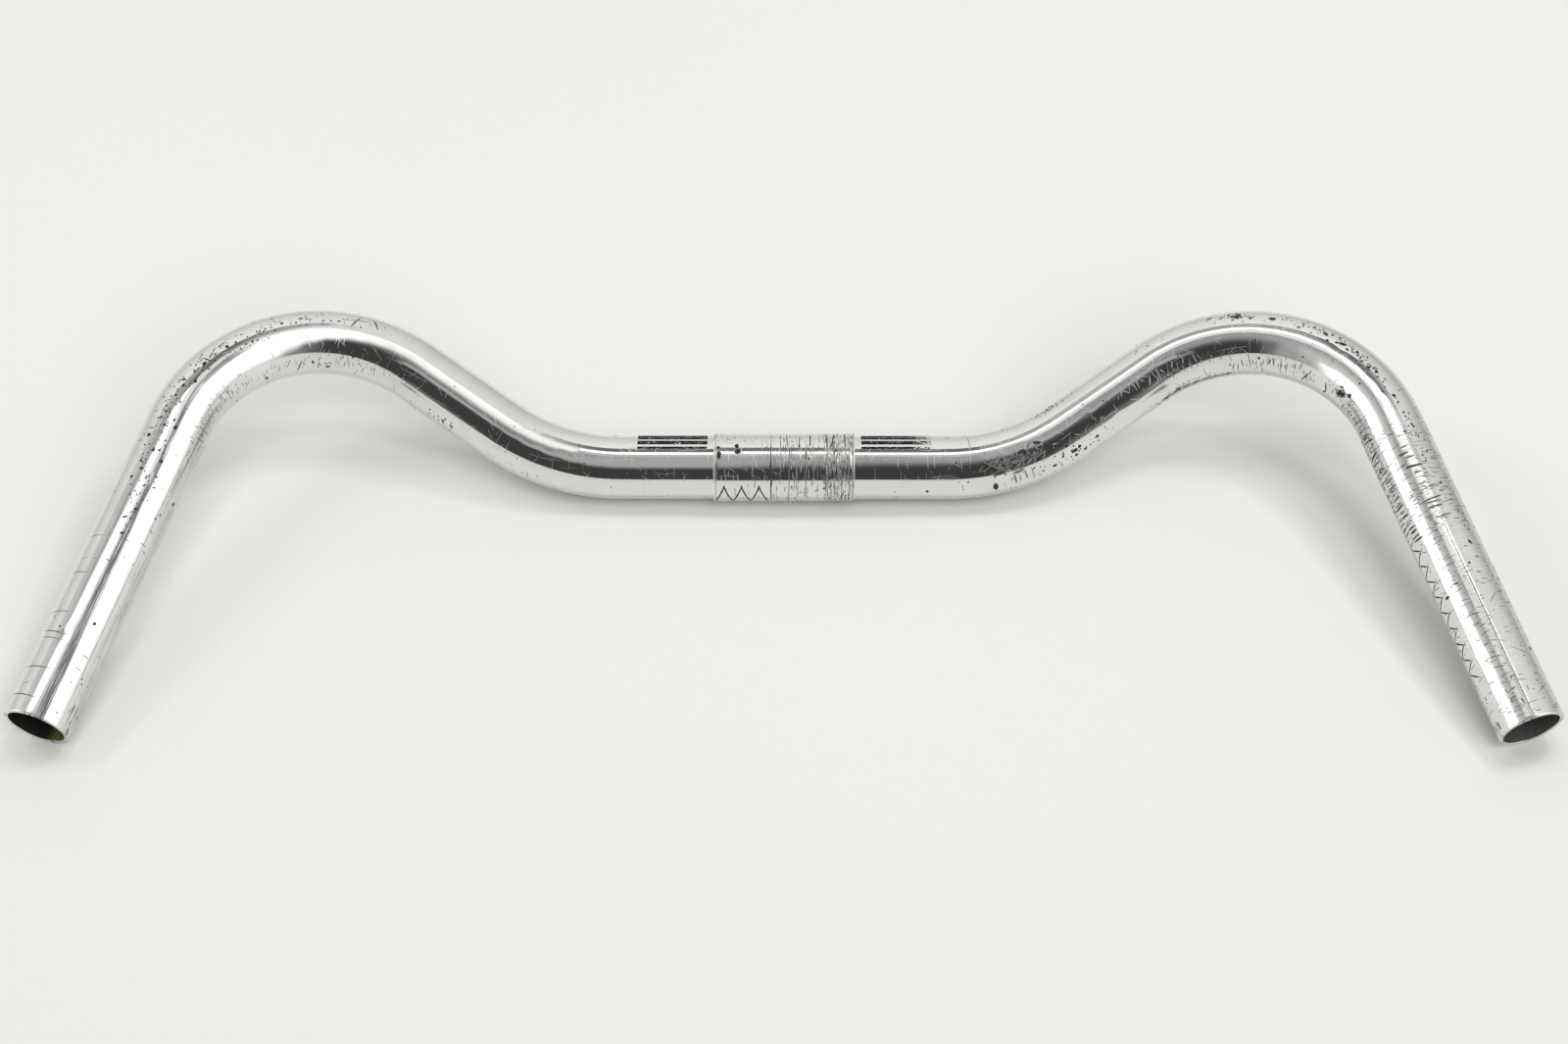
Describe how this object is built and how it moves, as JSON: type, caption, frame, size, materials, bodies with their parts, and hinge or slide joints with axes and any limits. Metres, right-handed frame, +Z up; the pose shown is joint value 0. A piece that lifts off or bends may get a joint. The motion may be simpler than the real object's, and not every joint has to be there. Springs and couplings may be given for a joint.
{
  "type": "swept-back bicycle handlebar",
  "caption": "Bent hollow aluminium bicycle handlebar with a plain clamp sleeve in the middle, raised shoulders and straight grips that sweep back to open ends.",
  "frame": {"origin": "centre of the clamp sleeve, on the tube's centre line", "axes": "+X along the straight middle of the bar, towards the rider's right; +Y forward, away from the open ends; +Z up from the surface the bar lies on, which is 12.7 mm below the origin"},
  "size_m": [0.5386, 0.1734, 0.0637],
  "materials": {
    "polished_tube": "polished, with fine wear scratches",
    "scuffed_sleeve": "polished, with clamp marks around it",
    "black_ink": "satin black transfer, worn at its edges"
  },
  "bodies": {
    "root": {"bar_tube": "polished_tube", "clamp_sleeve": "scuffed_sleeve", "left_mark": "black_ink", "right_mark": "black_ink"}
  },
  "joints": []
}
